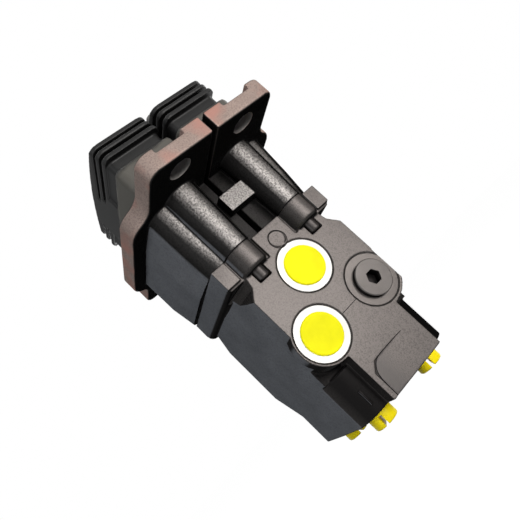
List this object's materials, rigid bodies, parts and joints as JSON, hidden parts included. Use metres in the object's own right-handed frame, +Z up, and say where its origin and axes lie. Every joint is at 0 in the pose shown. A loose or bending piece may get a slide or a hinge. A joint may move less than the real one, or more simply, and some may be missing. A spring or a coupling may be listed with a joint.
{
  "type": "foot pilot valve",
  "caption": "Twin-pedal hydraulic foot pilot valve: cast casing with plugged ports, split mounting flange, rubber bellows over rocking cams, spring-loaded spools.",
  "frame": {"origin": "middle of the four mounting holes, on the underside of the flange", "axes": "+Z up to the pedals, -Y out of the face with the pressure and tank ports, +X to the right-hand pedal seen from that face"},
  "size_m": [0.11, 0.1729, 0.2306],
  "materials": {
    "cast_iron": "satin cast skin",
    "bellows_rubber": "matte",
    "seal_rubber": "matte",
    "bright_steel": "satin",
    "ground_steel": "ground",
    "yellow_plastic": "matte",
    "bronze": "machined",
    "spring_steel": "drawn wire"
  },
  "bodies": {
    "housing": {"casing": "cast_iron", "left_cover": "cast_iron", "right_cover": "cast_iron", "left_bellows": "bellows_rubber", "right_bellows": "bellows_rubber", "camshaft_bushes": "bronze", "rod_guides": "bronze", "rod_seals": "seal_rubber", "guide_rings": "seal_rubber", "bore_rings": "seal_rubber", "cover_bolts": "bright_steel", "port_plug_p": "yellow_plastic", "port_plug_t": "yellow_plastic", "hex_plug": "bright_steel", "hex_plug_ring": "seal_rubber", "work_port_plugs": "yellow_plastic"},
    "left_cam": {"left_cam": "ground_steel", "left_camshaft": "ground_steel", "left_cam_screw": "ground_steel"},
    "left_front_rod": {"left_front_push_rod": "ground_steel", "left_front_damping_piston": "ground_steel", "left_front_spring_seat": "ground_steel", "left_front_damping_spring": "spring_steel", "left_front_return_spring": "spring_steel", "left_front_metering_spring": "spring_steel"},
    "left_front_spool": {"left_front_spool": "ground_steel"},
    "left_rear_rod": {"left_rear_push_rod": "ground_steel", "left_rear_damping_piston": "ground_steel", "left_rear_spring_seat": "ground_steel", "left_rear_damping_spring": "spring_steel", "left_rear_return_spring": "spring_steel", "left_rear_metering_spring": "spring_steel"},
    "left_rear_spool": {"left_rear_spool": "ground_steel"},
    "right_cam": {"right_cam": "ground_steel", "right_camshaft": "ground_steel", "right_cam_screw": "ground_steel"},
    "right_front_rod": {"right_front_push_rod": "ground_steel", "right_front_damping_piston": "ground_steel", "right_front_spring_seat": "ground_steel", "right_front_damping_spring": "spring_steel", "right_front_return_spring": "spring_steel", "right_front_metering_spring": "spring_steel"},
    "right_front_spool": {"right_front_spool": "ground_steel"},
    "right_rear_rod": {"right_rear_push_rod": "ground_steel", "right_rear_damping_piston": "ground_steel", "right_rear_spring_seat": "ground_steel", "right_rear_damping_spring": "spring_steel", "right_rear_return_spring": "spring_steel", "right_rear_metering_spring": "spring_steel"},
    "right_rear_spool": {"right_rear_spool": "ground_steel"}
  },
  "joints": [
    {"name": "left_pedal_hinge", "type": "hinge", "parent": "housing", "child": "left_cam", "pos_m": [-0.022, 0, 0.03], "axis": [1, 0, 0], "range_deg": [-12.4, 12.4], "stiffness_Nm_per_rad": 4},
    {"name": "left_front_rod_slide", "type": "slide", "parent": "housing", "child": "left_front_rod", "axis": [0, 0, 1], "range_m": [-0.0044, 0.0044], "deforming": ["left_front_damping_spring", "left_front_return_spring", "left_front_metering_spring"]},
    {"name": "left_front_spool_slide", "type": "slide", "parent": "housing", "child": "left_front_spool", "axis": [0, 0, 1], "range_m": [-0.00115, 0.00115]},
    {"name": "left_rear_rod_slide", "type": "slide", "parent": "housing", "child": "left_rear_rod", "axis": [0, 0, 1], "range_m": [-0.0044, 0.0044], "deforming": ["left_rear_damping_spring", "left_rear_return_spring", "left_rear_metering_spring"]},
    {"name": "left_rear_spool_slide", "type": "slide", "parent": "housing", "child": "left_rear_spool", "axis": [0, 0, 1], "range_m": [-0.00115, 0.00115]},
    {"name": "right_pedal_hinge", "type": "hinge", "parent": "housing", "child": "right_cam", "pos_m": [0.022, 0, 0.03], "axis": [1, 0, 0], "range_deg": [-12.4, 12.4], "stiffness_Nm_per_rad": 4},
    {"name": "right_front_rod_slide", "type": "slide", "parent": "housing", "child": "right_front_rod", "axis": [0, 0, 1], "range_m": [-0.0044, 0.0044], "deforming": ["right_front_damping_spring", "right_front_return_spring", "right_front_metering_spring"]},
    {"name": "right_front_spool_slide", "type": "slide", "parent": "housing", "child": "right_front_spool", "axis": [0, 0, 1], "range_m": [-0.00115, 0.00115]},
    {"name": "right_rear_rod_slide", "type": "slide", "parent": "housing", "child": "right_rear_rod", "axis": [0, 0, 1], "range_m": [-0.0044, 0.0044], "deforming": ["right_rear_damping_spring", "right_rear_return_spring", "right_rear_metering_spring"]},
    {"name": "right_rear_spool_slide", "type": "slide", "parent": "housing", "child": "right_rear_spool", "axis": [0, 0, 1], "range_m": [-0.00115, 0.00115]}
  ],
  "couplings": [
    {"joint": "left_front_rod_slide", "follows": "left_pedal_hinge", "m_per_rad": -0.0195},
    {"joint": "left_front_spool_slide", "follows": "left_pedal_hinge", "m_per_rad": -0.005},
    {"joint": "left_rear_rod_slide", "follows": "left_pedal_hinge", "m_per_rad": 0.0195},
    {"joint": "left_rear_spool_slide", "follows": "left_pedal_hinge", "m_per_rad": 0.005},
    {"joint": "right_front_rod_slide", "follows": "right_pedal_hinge", "m_per_rad": -0.0195},
    {"joint": "right_front_spool_slide", "follows": "right_pedal_hinge", "m_per_rad": -0.005},
    {"joint": "right_rear_rod_slide", "follows": "right_pedal_hinge", "m_per_rad": 0.0195},
    {"joint": "right_rear_spool_slide", "follows": "right_pedal_hinge", "m_per_rad": 0.005}
  ]
}
